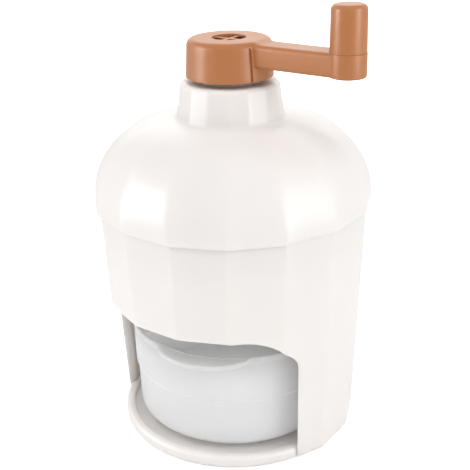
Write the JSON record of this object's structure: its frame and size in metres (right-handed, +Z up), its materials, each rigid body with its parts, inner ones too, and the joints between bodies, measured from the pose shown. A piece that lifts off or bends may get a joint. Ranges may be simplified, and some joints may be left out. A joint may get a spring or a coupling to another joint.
{
  "type": "hand cranked ice shaver",
  "caption": "Faceted tabletop ice shaver: domed lid with neck and side crank, spring pressed spiked disc over a fixed blade, arched front opening, pull out cup on a lipped tray.",
  "frame": {"origin": "on the ground plane, under the axis that the crank turns about", "axes": "+Z up along the crank's axis, the open front with the cup towards -Y, the crank arm towards +X at rest"},
  "size_m": [0.1513, 0.1476, 0.2373],
  "materials": {
    "body_white": "white plastic, satin to gloss",
    "crank_tan": "tan plastic, satin",
    "cup_frosted": "translucent frosted plastic",
    "inner_white": "plain white plastic",
    "steel": "stainless steel",
    "blade_steel": "ground stainless steel",
    "pad_rubber": "light grey rubber"
  },
  "bodies": {
    "housing": {"body_shell": "body_white", "base_tray": "body_white", "foot_pad": "pad_rubber", "tray_screws": "steel", "ice_chamber": "inner_white", "chamber_screws": "steel", "blade_plate": "inner_white", "blade": "blade_steel", "blade_clamp": "steel", "blade_screws": "steel", "plate_screws": "steel"},
    "lid": {"dome_cover": "body_white", "neck_bush": "inner_white"},
    "crank": {"crank_arm": "crank_tan", "drive_tube": "inner_white", "tube_pin": "steel", "tube_clip": "steel", "thrust_washer": "inner_white", "spring_seat": "inner_white", "grip_pin": "crank_tan"},
    "grip": {"grip_sleeve": "crank_tan"},
    "presser": {"presser_disc": "inner_white", "presser_spikes": "steel", "presser_stem": "inner_white", "stem_pin": "steel", "stem_washer": "steel", "stem_screw": "steel", "pressure_spring": "steel"},
    "cup": {"ice_cup": "cup_frosted"}
  },
  "joints": [
    {"name": "lid_lift", "type": "slide", "parent": "housing", "child": "lid", "axis": [0, 0, 1], "range_m": [0, 0.11]},
    {"name": "crank_turn", "type": "hinge", "parent": "lid", "child": "crank", "pos_m": [0, 0, 0.2], "axis": [0, 0, 1], "continuous": true},
    {"name": "grip_spin", "type": "hinge", "parent": "crank", "child": "grip", "pos_m": [0.0685, 0, 0.225], "axis": [0, 0, 1], "continuous": true},
    {"name": "presser_rise", "type": "slide", "parent": "crank", "child": "presser", "axis": [0, 0, 1], "range_m": [0, 0.038], "stiffness_N_per_m": 60, "springref_m": -0.03, "deforming": ["pressure_spring"]},
    {"name": "cup_slide", "type": "slide", "parent": "housing", "child": "cup", "axis": [0, -1, 0], "range_m": [0, 0.13]}
  ]
}
